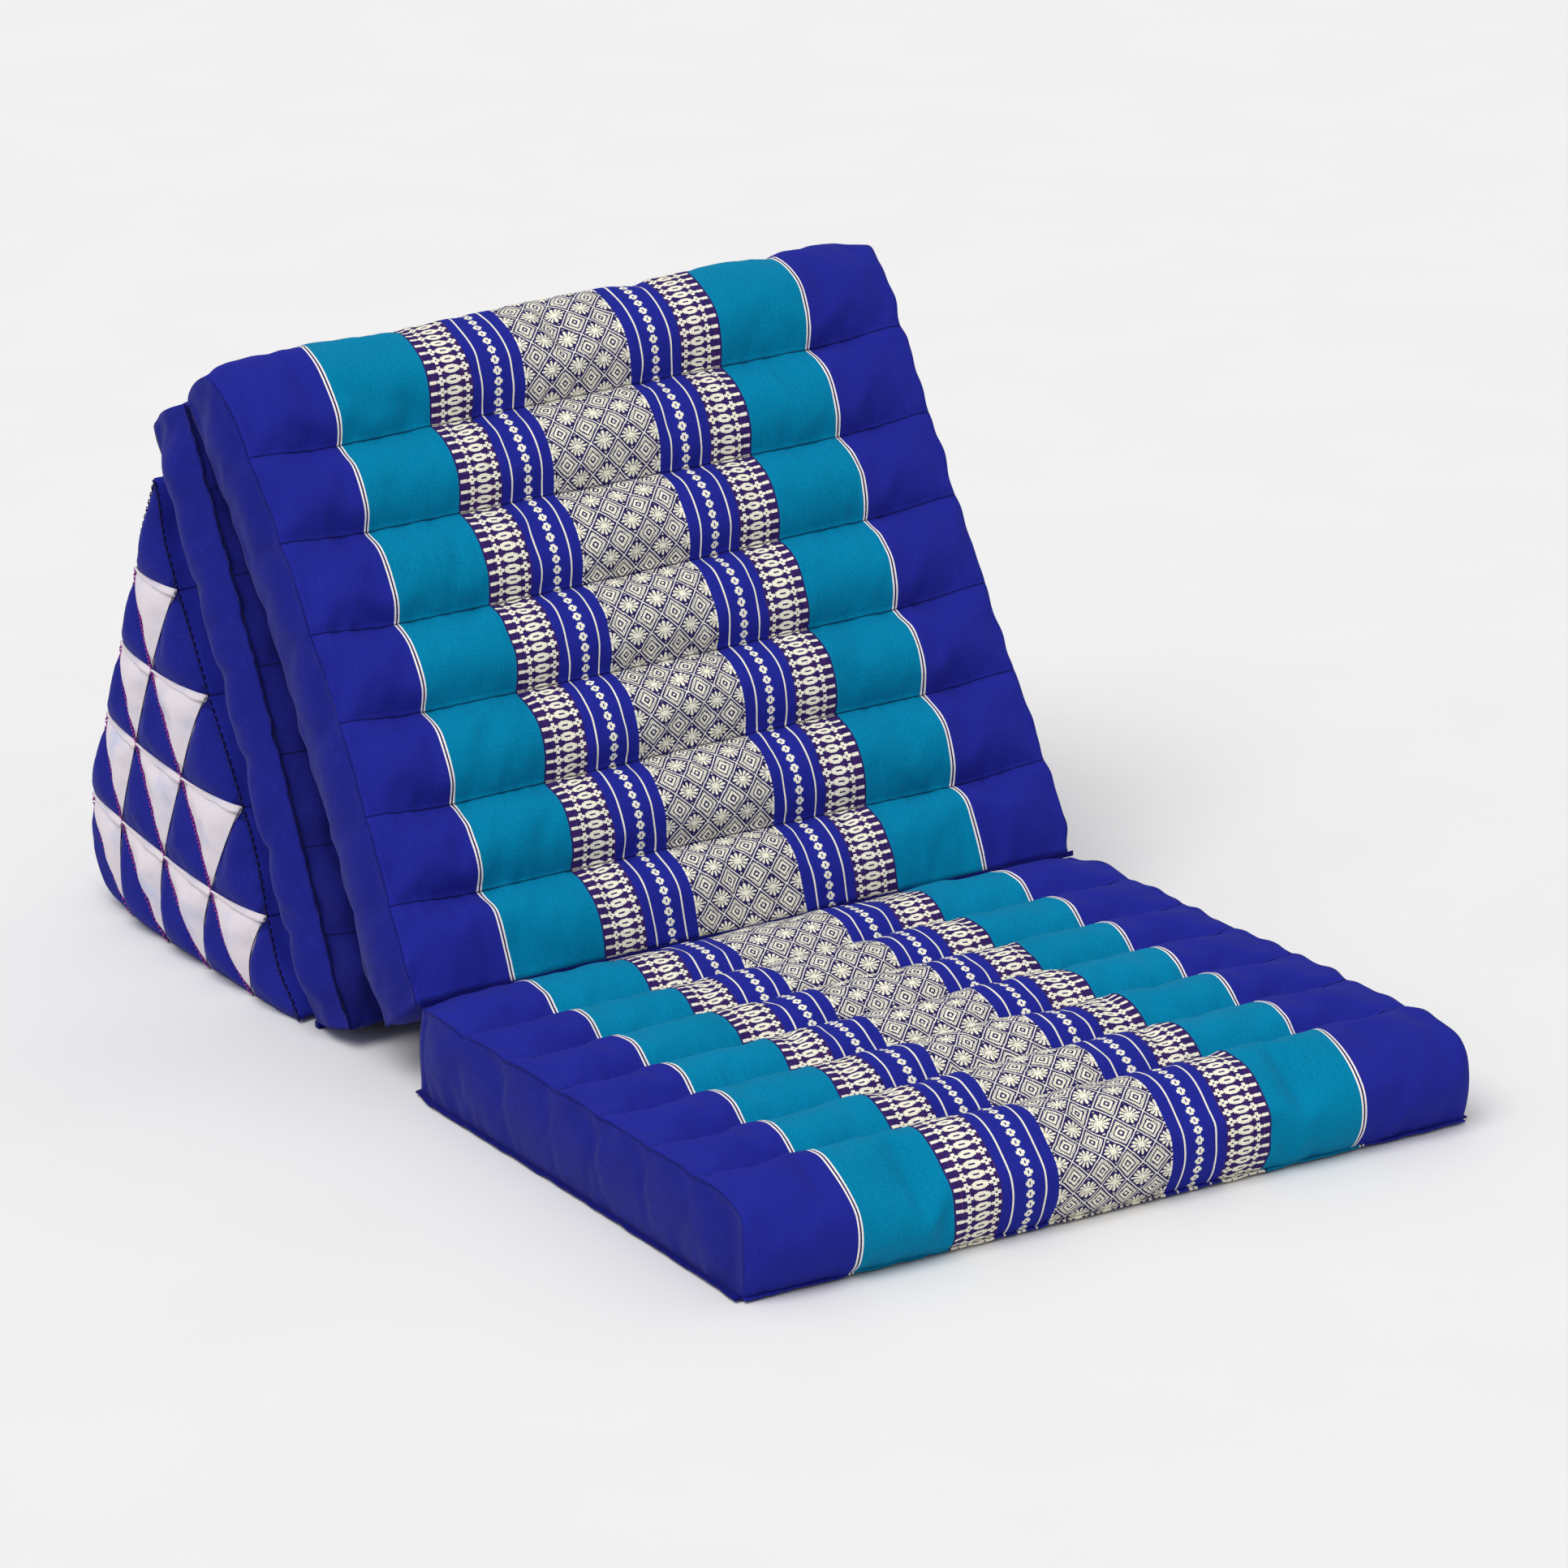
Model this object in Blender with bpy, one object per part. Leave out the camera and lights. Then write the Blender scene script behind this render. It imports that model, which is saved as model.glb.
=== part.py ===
# Triangle floor cushion with a three-section fold-out mat, standing as a floor seat.
# Metres, +Z up. X runs across the seat, and +Y runs from the sitter's feet to the wedge.
# The profile below is drawn from the seam between seat and backrest, at floor level.
# The last step moves the whole cushion so that the centre of its footprint is the origin.

import math
from collections import namedtuple

import bmesh
import bpy
from mathutils import Vector

# Driving sizes
SECTION_WIDTH = 0.5185
CHANNELS = 7
WEDGE_WIDTH = 0.506
WEDGE_ROWS = 5
TAPE_THICKNESS = 0.0010
PIECE_GAP = 0.0003

# One row for each mat section. A corner is (y, z) on the section's own side seams:
# face is the patterned side and back the plain side, foot is the lower or hinged end.
# Left is -X and right is +X.
Section = namedtuple(
    "Section",
    "name face_foot face_head back_foot back_head crown valley belly back_crown strip_bulge "
    "foot_bulge head_bulge head_drop draw_left draw_right head_wider_right head_longer_right",
)
SECTIONS = (
    Section(
        "seat_section",
        face_foot=(-0.0014, 0.0655), face_head=(-0.4270, 0.0655),
        back_foot=(0.0060, 0.0000), back_head=(-0.4230, 0.0000),
        crown=0.0060, valley=0.0070, belly=0.0020, back_crown=0.0, strip_bulge=0.0060,
        foot_bulge=0.0040, head_bulge=0.0170, head_drop=0.0100,
        draw_left=0.0020, draw_right=0.0020, head_wider_right=0.0110, head_longer_right=0.0130,
    ),
    Section(
        "backrest_section",
        face_foot=(0.0012, 0.0660), face_head=(0.2425, 0.4430),
        back_foot=(0.0551, 0.0315), back_head=(0.2930, 0.4107),
        crown=0.0058, valley=0.0066, belly=0.0040, back_crown=0.0180, strip_bulge=0.0070,
        foot_bulge=0.0035, head_bulge=0.0170, head_drop=0.0040,
        draw_left=0.0100, draw_right=0.0030, head_wider_right=0.0020, head_longer_right=0.0080,
    ),
    Section(
        "folded_section",
        face_foot=(0.1580, 0.0050), face_head=(0.3510, 0.3805),
        back_foot=(0.1040, 0.0160), back_head=(0.2950, 0.4096),
        crown=0.0040, valley=0.0040, belly=0.0, back_crown=0.0180, strip_bulge=0.0150,
        foot_bulge=0.0035, head_bulge=0.0100, head_drop=0.0050,
        draw_left=0.0030, draw_right=0.0050, head_wider_right=0.0, head_longer_right=0.0,
    ),
)

# How the seams across the mat wander, in metres along the mat, one value for each seam
SEAM_WANDER = (0.0012, -0.0015, 0.0010, 0.0018, -0.0012, 0.0008)
SEAM_LIFT_AT_SIDE = 0.0030

# The wedge's end seam, in (y, z)
WEDGE_FRONT = Vector((0.1605, 0.0030))
WEDGE_BACK = Vector((0.4970, 0.0040))
WEDGE_TOP = Vector((0.3660, 0.3400))
WEDGE_CROWN = 0.0060
WEDGE_FRONT_SEAM_IN = 0.0130
WEDGE_FRONT_BELLY = 0.0160
WEDGE_BACK_BELLY = 0.0300
WEDGE_END_BULGE = 0.0170
PATCH_PUFF = 0.0040

# Seam allowances between neighbours: (name, middle (y, z), direction in degrees, reach up, reach down)
Tape = namedtuple("Tape", "name middle lean up down")
TAPES = (
    Tape("seam_seat_backrest", (0.0, 0.0655), 90.0, 0.0006, 0.0030),
    Tape("seam_backrest_folded", (0.2940, 0.41015), 60.4, 0.0010, 0.0060),
)
FLOOR_TAPE_LAP = 0.0030

# Mesh fineness
ACROSS = 10
PER_CHANNEL = 5
THROUGH = 4
WEDGE_ACROSS = 8
PER_PATCH = 4

ROYAL_BLUE = (0.036, 0.018, 0.300)
NAVY = (0.020, 0.016, 0.110)


def smooth(t):
    t = min(max(t, 0.0), 1.0)
    return t * t * (3.0 - 2.0 * t)


def mix(a, b, t):
    return a + (b - a) * t


def material(name, colour, roughness):
    made = bpy.data.materials.new(name)
    made.use_nodes = True
    shader = made.node_tree.nodes["Principled BSDF"]
    shader.inputs["Base Color"].default_value = (*colour, 1.0)
    shader.inputs["Roughness"].default_value = roughness
    shader.inputs["Metallic"].default_value = 0.0
    return made


def add_object(name, bm, look, parent):
    bmesh.ops.recalc_face_normals(bm, faces=bm.faces)
    if bm.calc_volume(signed=True) < 0.0:
        bmesh.ops.reverse_faces(bm, faces=bm.faces)
    bmesh.ops.triangulate(bm, faces=bm.faces)
    mesh = bpy.data.meshes.new(name)
    bm.to_mesh(mesh)
    bm.free()
    mesh.shade_smooth()
    mesh.set_sharp_from_angle(angle=math.radians(50))
    mesh.materials.append(look)
    obj = bpy.data.objects.new(name, mesh)
    obj.parent = parent
    bpy.context.scene.collection.objects.link(obj)
    return obj


def cut_along(bm, axis, pieces):
    # Splits every edge that runs along one axis into equal pieces.
    edges = []
    for edge in bm.edges:
        run = edge.verts[1].co - edge.verts[0].co
        if abs(run[axis]) > 0.9 * run.length:
            edges.append(edge)
    bmesh.ops.subdivide_edges(bm, edges=edges, cuts=pieces - 1, use_grid_fill=True)


def side_fade(across):
    # 1 over the middle of the section, 0.12 at the side seams.
    return mix(0.12, 1.0, smooth((1.0 - abs(across)) / 0.24))


def channel_arc(along):
    # 0 at each seam across the mat and 1 halfway between two seams.
    place = (along * CHANNELS) % 1.0
    return 1.0 - abs(2.0 * place - 1.0) ** 2.3


def wander(across, along):
    # The seams aren't ruled straight, and they run up a little at the sides.
    seam = min(max(round(along * CHANNELS), 1), CHANNELS - 1)
    near = 1.0 - min(abs(along * CHANNELS - seam), 1.0)
    at_end = min(along, 1.0 - along) * CHANNELS
    lift = SEAM_LIFT_AT_SIDE * smooth((abs(across) - 0.7) / 0.3)
    return (SEAM_WANDER[seam - 1] * math.cos(2.2 * across + seam) + lift) * near * smooth(at_end)


def face_height(section, across, along):
    from_end = min(1.0, min(along, 1.0 - along) * CHANNELS)
    arc = channel_arc(along)
    channel = section.crown * arc - section.valley * from_end * (1.0 - arc)
    belly = section.belly * math.sin(math.pi * along) * (1.0 - across**2)
    drop = section.head_drop * smooth((along - 1.0) * CHANNELS + 1.0) ** 2
    return channel * side_fade(across) + belly - drop


def back_height(section, across, along):
    if section.back_crown == 0.0:
        return 0.0
    room = mix(0.0480, 0.0022, along) - 0.0026
    reach = min(section.back_crown, 0.42 * max(room, 0.0))
    puff = 0.65 + 0.35 * channel_arc(along)
    ends = smooth(min(along, 1.0 - along) * CHANNELS)
    return reach * puff * ends * side_fade(across)


def section_point(section, corner):
    # Maps a point of the cube from -1 to 1 to its place on the filled section.
    across, along, through = corner.x, (corner.y + 1.0) / 2.0, (1.0 - corner.z) / 2.0
    across = across * (1.5 - 0.5 * across**2)
    face = Vector(section.face_foot).lerp(Vector(section.face_head), along)
    back = Vector(section.back_foot).lerp(Vector(section.back_head), along)
    run = (Vector(section.face_head) - Vector(section.face_foot)).normalized()
    out = (face - back).normalized()
    shift = wander(across, along)
    shift += section.head_longer_right * (across + 1.0) / 2.0 * along
    top = face + out * face_height(section, across, along) + run * shift
    under = back - out * back_height(section, across, along) + run * shift
    spot = top.lerp(under, through)

    # The side strip and the two ends swell between their seams.
    swell = math.sin(math.pi * min(max((through - 0.10) / 0.85, 0.0), 1.0)) ** 2
    at_foot = max(0.0, 1.0 - along * 400.0)
    at_head = max(0.0, 1.0 - (1.0 - along) * 400.0)
    ends_in = 1.0 - 0.7 * abs(across) ** 12
    spot += run * swell * ends_in * (section.head_bulge * at_head - section.foot_bulge * at_foot)
    draw = section.draw_left if across < 0.0 else section.draw_right
    half = SECTION_WIDTH / 2.0 - draw * math.sin(math.pi * along) ** 0.8
    if across > 0.0:
        half += section.head_wider_right * along**1.5
    at_side = max(0.0, 1.0 - (1.0 - abs(across)) * 400.0)
    corner_in = 1.0 - 0.7 * (1.0 - smooth(min(along, 1.0 - along) * 10.0))
    x = across * half + math.copysign(section.strip_bulge, across) * swell * at_side * corner_in
    return Vector((x, spot.x, spot.y))


def make_section(section, look, parent):
    bm = bmesh.new()
    bmesh.ops.create_cube(bm, size=2.0)
    cut_along(bm, 0, ACROSS)
    cut_along(bm, 1, CHANNELS * PER_CHANNEL)
    cut_along(bm, 2, THROUGH)
    for vert in bm.verts:
        vert.co = section_point(section, vert.co.copy())
    return add_object(section.name, bm, look, parent)


def weights(point):
    # Barycentric weights of a (y, z) point in the wedge's end seam: front, back, top.
    a, b = WEDGE_BACK - WEDGE_FRONT, WEDGE_TOP - WEDGE_FRONT
    p = point - WEDGE_FRONT
    area = a.x * b.y - a.y * b.x
    back = (p.x * b.y - p.y * b.x) / area
    top = (a.x * p.y - a.y * p.x) / area
    return 1.0 - back - top, back, top


def patch_puff(front, back, top):
    # 1 in the middle of each small triangle of the patchwork, 0 on its seams.
    parts = [(w * WEDGE_ROWS) % 1.0 for w in (front, back, top)]
    if sum(parts) > 1.5:
        parts = [1.0 - p for p in parts]
    a, b, c = parts
    return math.sqrt(max(27.0 * a * b * c, 0.0))


def row_arc(top):
    place = (top * WEDGE_ROWS) % 1.0
    return 1.0 - abs(2.0 * place - 1.0) ** 2.3


def wedge_point(raw):
    # raw.x is -1 to 1 across, raw.y and raw.z lie in the end seam's triangle.
    front, back, top = (round(w, 6) for w in weights(Vector((raw.y, raw.z))))
    spot = Vector((raw.y, raw.z))
    fade = smooth((1.0 - abs(raw.x)) / 0.3)

    # Front and back faces swell, and their rows stand proud between the seams.
    run = (WEDGE_TOP - WEDGE_FRONT).normalized()
    out = Vector((-run.y, run.x))
    room = mix(0.0031, 0.0340, top) - 0.0060
    swell = min(WEDGE_FRONT_BELLY, max(room, 0.0)) * smooth((1.0 - top) * 4.0) * fade
    seam_in = WEDGE_FRONT_SEAM_IN * smooth(min(top * 8.0, (1.0 - top) * 8.0)) * (1.0 - fade)
    dip = WEDGE_CROWN * (1.0 - row_arc(top)) * smooth(min(top, 1.0 - top) * WEDGE_ROWS) * mix(0.3, 1.0, fade)
    spot += out * (swell - seam_in) * (1.0 - smooth(back * 1.4))
    spot -= out * dip * max(0.0, 1.0 - back * 400.0)
    run = (WEDGE_TOP - WEDGE_BACK).normalized()
    out = Vector((run.y, -run.x))
    swell = WEDGE_BACK_BELLY * math.sin(math.pi * (1.0 - top) ** 2.0) * mix(0.88, 1.0, fade)
    spot += out * swell * (1.0 - smooth(front * 1.4))
    spot -= out * dip * max(0.0, 1.0 - front * 400.0)

    # The underside lies flat on the floor, with its corner seams just clear of it.
    lift = mix(WEDGE_FRONT.y, WEDGE_BACK.y, back / max(front + back, 1e-6))
    spot.y -= lift * smooth(min(front, back) / 0.08) * smooth((0.15 - top) / 0.15)
    if top == 0.0 and min(front, back) > 0.08:
        spot.y = 0.0

    half = WEDGE_WIDTH / 2.0
    if abs(raw.x) > 0.999:
        dome = max(27.0 * front * back * top, 0.0) ** 0.55
        half += WEDGE_END_BULGE * dome + PATCH_PUFF * patch_puff(front, back, top)
    return Vector((raw.x * half, spot.x, spot.y))


def make_wedge(look, parent):
    bm = bmesh.new()
    corners = [bm.verts.new((-1.0, p.x, p.y)) for p in (WEDGE_FRONT, WEDGE_BACK, WEDGE_TOP)]
    end = bm.faces.new(corners)
    swept = bmesh.ops.extrude_face_region(bm, geom=[end], use_keep_orig=True)
    moved = [part for part in swept["geom"] if isinstance(part, bmesh.types.BMVert)]
    bmesh.ops.translate(bm, verts=moved, vec=(2.0, 0.0, 0.0))
    cut_along(bm, 0, WEDGE_ACROSS)
    rims = [e for e in bm.edges if abs(e.verts[0].co.x - e.verts[1].co.x) < 1e-6]
    bmesh.ops.subdivide_edges(bm, edges=rims, cuts=WEDGE_ROWS * PER_PATCH - 1, use_grid_fill=True)
    for vert in bm.verts:
        vert.co = wedge_point(vert.co.copy())
    return add_object("wedge_cushion", bm, look, parent)


def make_tape(name, corners, look, parent):
    # A flat seam allowance: its (y, z) outline, drawn along the whole width.
    half = SECTION_WIDTH / 2.0 - 0.004
    bm = bmesh.new()
    end = bm.faces.new([bm.verts.new((-half, y, z)) for y, z in corners])
    swept = bmesh.ops.extrude_face_region(bm, geom=[end], use_keep_orig=True)
    moved = [part for part in swept["geom"] if isinstance(part, bmesh.types.BMVert)]
    bmesh.ops.translate(bm, verts=moved, vec=(2.0 * half, 0.0, 0.0))
    return add_object(name, bm, look, parent)


def leaning_outline(tape):
    lean = math.radians(tape.lean)
    run = Vector((math.cos(lean), math.sin(lean)))
    side = Vector((run.y, -run.x)) * TAPE_THICKNESS / 2.0
    top = Vector(tape.middle) + run * tape.up
    foot = Vector(tape.middle) - run * tape.down
    return [foot - side, foot + side, top + side, top - side]


def floor_tape_outline():
    # Joins the folded section's lower edge to the wedge's, just above the floor.
    left = SECTIONS[2].face_foot[0] - FLOOR_TAPE_LAP
    right = WEDGE_FRONT.x - PIECE_GAP
    top = SECTIONS[2].face_foot[1] - PIECE_GAP
    return [(left, PIECE_GAP), (right, PIECE_GAP), (right, top), (left, top)]


def centre_on_footprint(parent, made):
    low = Vector((1e9, 1e9))
    high = Vector((-1e9, -1e9))
    for obj in made:
        for vert in obj.data.vertices:
            low = Vector((min(low.x, vert.co.x), min(low.y, vert.co.y)))
            high = Vector((max(high.x, vert.co.x), max(high.y, vert.co.y)))
    parent.location = (-(low.x + high.x) / 2.0, -(low.y + high.y) / 2.0, 0.0)


def main():
    for obj in list(bpy.data.objects):
        bpy.data.objects.remove(obj)
    parent = bpy.data.objects.new("cushion", None)
    bpy.context.scene.collection.objects.link(parent)
    cotton = material("royal_blue_cotton", ROYAL_BLUE, 0.85)
    thread = material("navy_seam", NAVY, 0.9)
    made = [make_section(section, cotton, parent) for section in SECTIONS]
    made.append(make_wedge(cotton, parent))
    made.extend(make_tape(tape.name, leaning_outline(tape), thread, parent) for tape in TAPES)
    made.append(make_tape("seam_folded_wedge", floor_tape_outline(), thread, parent))
    centre_on_footprint(parent, made)


main()
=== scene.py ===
import math

import bmesh
import bpy
import numpy as np
from mathutils import Matrix, Vector, noise


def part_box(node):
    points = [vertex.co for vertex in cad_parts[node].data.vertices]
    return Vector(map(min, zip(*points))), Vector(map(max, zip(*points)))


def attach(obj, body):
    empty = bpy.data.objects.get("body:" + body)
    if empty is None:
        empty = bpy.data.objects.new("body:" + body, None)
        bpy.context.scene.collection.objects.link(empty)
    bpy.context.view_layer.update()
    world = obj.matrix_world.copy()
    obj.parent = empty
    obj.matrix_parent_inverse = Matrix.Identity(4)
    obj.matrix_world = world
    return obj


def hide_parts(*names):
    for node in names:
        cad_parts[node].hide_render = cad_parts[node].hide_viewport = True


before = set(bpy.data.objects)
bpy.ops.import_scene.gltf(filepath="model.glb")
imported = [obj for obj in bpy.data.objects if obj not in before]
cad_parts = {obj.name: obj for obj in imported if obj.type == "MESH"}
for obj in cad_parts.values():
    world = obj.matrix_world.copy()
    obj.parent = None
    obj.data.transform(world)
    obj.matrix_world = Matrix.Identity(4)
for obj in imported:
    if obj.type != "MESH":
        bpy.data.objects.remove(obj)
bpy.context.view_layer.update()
sceneNow = bpy.context.scene

# The profile is drawn from the seam between seat and backrest, whose strip is centred on it.
low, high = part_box("seam_seat_backrest")
seamPlace = Vector(((low[0] + high[0]) / 2, (low[1] + high[1]) / 2, 0.0))

# The mat's sections are alike in these. Lengths are in metres, across, perChannel and through count
# the mesh's faces, and the depth, fades and reach are shares.
mat = {
    "width": 0.5185, "channels": 7, "length": 0.450, "thick": 0.066,
    "across": 80, "perChannel": 10, "through": 9,
    "seamWander": (0.0012, -0.0015, 0.0010, 0.0018, -0.0012, 0.0008), "edgeLift": 0.003,
    "sideDepth": 0.16, "sideFade": 0.20, "headFade": 0.50, "headReach": 0.75,
}
matPitch = mat["length"] * 1000 / mat["channels"]  # millimetres


# Colours and nodes

def linear(hexColour):
    # sRGB hex to the linear values that Blender mixes in.
    parts = [int(hexColour[i:i + 2], 16) / 255 for i in (1, 3, 5)]
    return [p / 12.92 if p <= 0.04045 else ((p + 0.055) / 1.055) ** 2.4 for p in parts] + [1.0]


def node(tree, kind, *inputs, out=0, **settings):
    # Adds one node. "Math:ADD" sets the operation. Inputs are sockets to link, values, or None.
    name, _, operation = kind.partition(":")
    made = tree.nodes.new("ShaderNode" + name)
    if operation:
        made.operation = operation
    for key, value in settings.items():
        if hasattr(made, key):
            setattr(made, key, value)
        elif isinstance(value, bpy.types.NodeSocket):
            tree.links.new(value, made.inputs[key.replace("_", " ")])
        else:
            made.inputs[key.replace("_", " ")].default_value = value
    for index, value in enumerate(inputs):
        if isinstance(value, bpy.types.NodeSocket):
            tree.links.new(value, made.inputs[index])
        elif value is not None:
            made.inputs[index].default_value = value
    return made.outputs[out]


def steppedRamp(tree, value, stops):
    # Colours that change at once along a value from 0 to 1. The first stop is at 0.
    ramp = tree.nodes.new("ShaderNodeValToRGB")
    ramp.color_ramp.interpolation = "CONSTANT"
    for edge, colour in stops:
        stop = ramp.color_ramp.elements[0] if edge == 0 else ramp.color_ramp.elements.new(edge)
        stop.color = colour
    ramp.color_ramp.elements.remove(ramp.color_ramp.elements[-1])
    tree.links.new(value, ramp.inputs[0])
    return ramp.outputs[0]


def within(tree, value, lowest, highest):
    # 1 where a value lies between two limits
    return node(tree, "Math:MULTIPLY", node(tree, "Math:GREATER_THAN", value, lowest),
                node(tree, "Math:LESS_THAN", value, highest))


def newCloth(name, roughness, sheen):
    # Woven cotton: matte, with a soft bloom of loose fibre at grazing angles.
    made = bpy.data.materials.new(name)
    made.use_nodes = True
    tree = made.node_tree
    shader = tree.nodes["Principled BSDF"]
    shader.inputs["Roughness"].default_value = roughness
    shader.inputs["Specular IOR Level"].default_value = 0.05
    shader.inputs["Sheen Weight"].default_value = sheen
    shader.inputs["Sheen Roughness"].default_value = 0.45
    return made, tree, shader


def clothSpace(tree):
    # The cloth's own coordinates in millimetres: across the loom and along it.
    place = node(tree, "VectorMath:SCALE", node(tree, "UVMap", uv_map="cloth"), Scale=1000.0)
    return node(tree, "SeparateXYZ", place), node(tree, "SeparateXYZ", place, out=1)


def clothNoise(tree, across, along, cellsAcross, cellsAlong, detail):
    # Noise on the cloth, drawn out as its cells per millimetre say
    place = node(tree, "CombineXYZ", node(tree, "Math:MULTIPLY", across, cellsAcross),
                 node(tree, "Math:MULTIPLY", along, cellsAlong))
    return node(tree, "TexNoise", place, Scale=1.0, Detail=detail)


def threadBump(tree, shader, across, along, depth, raised=None):
    # Slubby threads, about 0.9 mm apart: coarser than the real ones, so that they show.
    perMillimetre, drawnOut = 1.1, 0.12
    threads = node(tree, "Math:ADD",
                   clothNoise(tree, across, along, perMillimetre, drawnOut, 2.0),
                   clothNoise(tree, across, along, drawnOut, perMillimetre, 2.0))
    height = threads if raised is None else node(tree, "Math:MULTIPLY_ADD", raised, 0.5, threads)
    bump = node(tree, "Bump", Height=height, Strength=0.5, Distance=depth)
    tree.links.new(bump, shader.inputs["Normal"])
    return threads


# Cloths

dyes = {
    "royal": "#21278E",
    "royalShade": "#191E76",
    "teal": "#007CA4",
    "cream": "#F1EDD8",
    "whiteThread": "#EEEAE0",
    "navy": "#292259",
    "ikatGround": "#2C2060",
    "ikatStreak": "#44265F",
    "stripe": "#F4EDE8",
    "patchWhite": "#DDD4DA",
    "smudge": "#B9C0DA",
    "patchBlue": "#23298E",
    "patchBlueShade": "#1A1F78",
    "seamShade": "#0C0C3A",
    "stitch": "#0E0E40",
    "allowance": "#14197A",
    "allowanceShade": "#0E1160",
    "ridge": "#101458",
    "ridgeShade": "#0B0D40",
    "overlock": "#A850C4",
    "overlockShade": "#8E0E6C",
    "navyThread": "#101048",
    "navyThreadShade": "#0A0A30",
}

# The woven cloth's pattern, in millimetres from its middle line. Its threads step by 0.5 mm, which is a
# guess: about as coarse as they need to show.
weave = {
    "thread": 0.5,
    "bands": [(0, "royal"), (50.1, "cream"), (51.1, "royal"), (73.2, "cream"), (74.2, "royal"),
              (81.5, "ikatGround"), (114.0, "teal"), (182.5, "stripe"), (183.35, "navy"),
              (184.35, "stripe"), (185.2, "royal")],
    "ikat": (81.5, 114.0),
    "latticeHalf": 42.0, "diamondWide": 20.5, "diamondTall": 19.29,
    "petals": 12.0, "rosetteHalfWide": 7.7, "rosetteHalfTall": 5.6,
    "frames": [(0, 1), (0.12, 0), (0.26, 1), (0.46, 0), (0.57, 0.5), (0.80, 0)],
    "floatPitch": 2.2, "floatLong": 1.70, "floatShift": 1.1, "pickTall": 0.85,
    "beadsPerChannel": 10,
}

# A bead is made of blocks, each with its middle across the cloth, half its width and half its height.
beadBlocks = [
    (61.8, 2.8, 0.9), (61.8, 2.2, 1.4), (61.8, 1.3, 2.3),  # the chain's bead
    (85.6, 3.3, 0.9), (85.6, 1.4, 2.4),  # the ikat's first bead
    (95.3, 2.7, 2.4), (95.3, 4.2, 1.9), (95.3, 5.6, 1.3),  # its long bead
    (104.4, 2.7, 0.9), (104.4, 1.2, 2.1),  # its last bead
    (110.8, 2.6, 0.9),  # its spear
    (97.5, 15.4, 0.4),  # the thread that ties the ikat row together, from the first bead to the spear
]
beadHoles = [(61.8, 0.7, 0.6), (85.6, 0.6, 0.4), (95.3, 2.3, 0.4), (104.4, 0.5, 0.4)]


def dyed(name):
    return linear(dyes[name])


def bandRamp(tree, across):
    # The stripes that run the length of the cloth, by distance from its middle line.
    rampLength = 300.0
    stops = [(edge / rampLength, dyed(dye)) for edge, dye in weave["bands"]]
    return steppedRamp(tree, node(tree, "Math:DIVIDE", across, rampLength), stops)


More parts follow.
